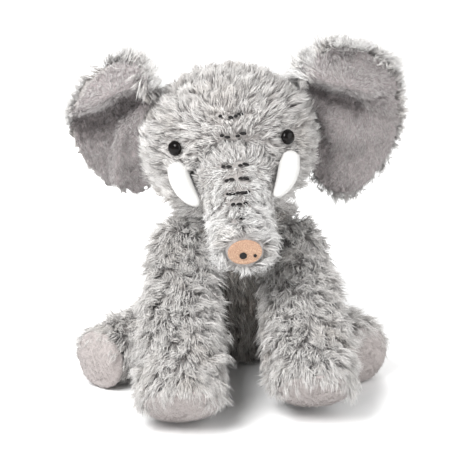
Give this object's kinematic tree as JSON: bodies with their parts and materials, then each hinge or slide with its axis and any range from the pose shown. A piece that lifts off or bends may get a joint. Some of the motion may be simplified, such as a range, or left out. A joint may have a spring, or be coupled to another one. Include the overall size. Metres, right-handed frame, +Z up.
{
  "type": "plush elephant",
  "caption": "Sitting long-pile plush elephant with big dished ears, a drooping trunk with a felt tip, felt tusks and jointed soft limbs.",
  "frame": {"origin": "centre of the flat seat under the torso, on the surface it sits on", "axes": "+Z up, -Y the way the face and feet point, +X the elephant's own left"},
  "size_m": [0.2606, 0.29, 0.2655],
  "materials": {
    "fur": "long shaggy pile",
    "velour": "short brushed pile",
    "filling": "loose polyester fibre",
    "beans": "woven bag",
    "white_felt": "smooth felt",
    "peach_felt": "felt",
    "eye": "polished",
    "washer": "moulded",
    "thread": "twisted thread"
  },
  "bodies": {
    "torso": {"torso_cover": "fur", "torso_stuffing": "filling", "seat_bean_bag": "beans"},
    "neck": {"neck_cover": "fur", "neck_stuffing": "filling"},
    "head": {"head_cover": "fur", "head_stuffing": "filling", "left_eye": "eye", "right_eye": "eye", "left_eye_washer": "washer", "right_eye_washer": "washer", "left_tusk": "white_felt", "right_tusk": "white_felt", "brow_stitch_1": "thread", "brow_stitch_2": "thread"},
    "trunk": {"trunk_cover": "fur", "trunk_stuffing": "filling", "trunk_tip_patch": "peach_felt", "left_nostril": "thread", "right_nostril": "thread", "trunk_stitch_1": "thread", "trunk_stitch_2": "thread", "trunk_stitch_3": "thread", "trunk_stitch_4": "thread", "trunk_seam": "thread"},
    "left_ear": {"left_ear_back": "fur", "left_ear_lining": "velour"},
    "right_ear": {"right_ear_back": "fur", "right_ear_lining": "velour"},
    "left_foreleg": {"left_foreleg_cover": "fur", "left_foreleg_stuffing": "filling", "left_foreleg_sole_pad": "velour"},
    "right_foreleg": {"right_foreleg_cover": "fur", "right_foreleg_stuffing": "filling", "right_foreleg_sole_pad": "velour"},
    "left_hindleg": {"left_hindleg_cover": "fur", "left_hindleg_stuffing": "filling", "left_hindleg_sole_pad": "velour"},
    "right_hindleg": {"right_hindleg_cover": "fur", "right_hindleg_stuffing": "filling", "right_hindleg_sole_pad": "velour"},
    "tail": {"tail_cord": "fur", "tail_tuft": "fur"}
  },
  "joints": [
    {"name": "neck_nod", "type": "hinge", "parent": "torso", "child": "neck", "pos_m": [0, -0.024, 0.121], "axis": [1, 0, 0], "range_deg": [-10, 4], "stiffness_Nm_per_rad": 2.5},
    {"name": "neck_turn", "type": "hinge", "parent": "neck", "child": "head", "pos_m": [0, -0.024, 0.121], "axis": [0, 0, 1], "range_deg": [-12, 12], "stiffness_Nm_per_rad": 0.4},
    {"name": "trunk_raise", "type": "hinge", "parent": "head", "child": "trunk", "pos_m": [-0.00399, -0.08, 0.16482], "axis": [-0.9959, 0, -0.0906], "range_deg": [-4, 20], "stiffness_Nm_per_rad": 1.2},
    {"name": "left_ear_flap", "type": "hinge", "parent": "head", "child": "left_ear", "pos_m": [0.05423, -0.024, 0.1651], "axis": [-0.2445, 0.0519, 0.9683], "range_deg": [-10, 20], "stiffness_Nm_per_rad": 0.3},
    {"name": "right_ear_flap", "type": "hinge", "parent": "head", "child": "right_ear", "pos_m": [-0.06202, -0.024, 0.16255], "axis": [-0.0742, -0.0547, -0.9957], "range_deg": [-10, 20], "stiffness_Nm_per_rad": 0.3},
    {"name": "left_foreleg_raise", "type": "hinge", "parent": "torso", "child": "left_foreleg", "pos_m": [0.045, -0.038, 0.1], "axis": [-1, 0, 0], "range_deg": [0, 15]},
    {"name": "right_foreleg_raise", "type": "hinge", "parent": "torso", "child": "right_foreleg", "pos_m": [-0.045, -0.042, 0.1], "axis": [-1, 0, 0], "range_deg": [0, 15]},
    {"name": "left_hindleg_spread", "type": "hinge", "parent": "torso", "child": "left_hindleg", "pos_m": [0.048, -0.004, 0.0264], "axis": [0, 0, 1], "range_deg": [0, 24]},
    {"name": "right_hindleg_spread", "type": "hinge", "parent": "torso", "child": "right_hindleg", "pos_m": [-0.048, -0.014, 0.0264], "axis": [0, 0, -1], "range_deg": [0, 24]},
    {"name": "tail_swing", "type": "hinge", "parent": "torso", "child": "tail", "pos_m": [0, 0.042, 0.04], "axis": [0, 0, 1], "range_deg": [-25, 25], "stiffness_Nm_per_rad": 0.05}
  ]
}
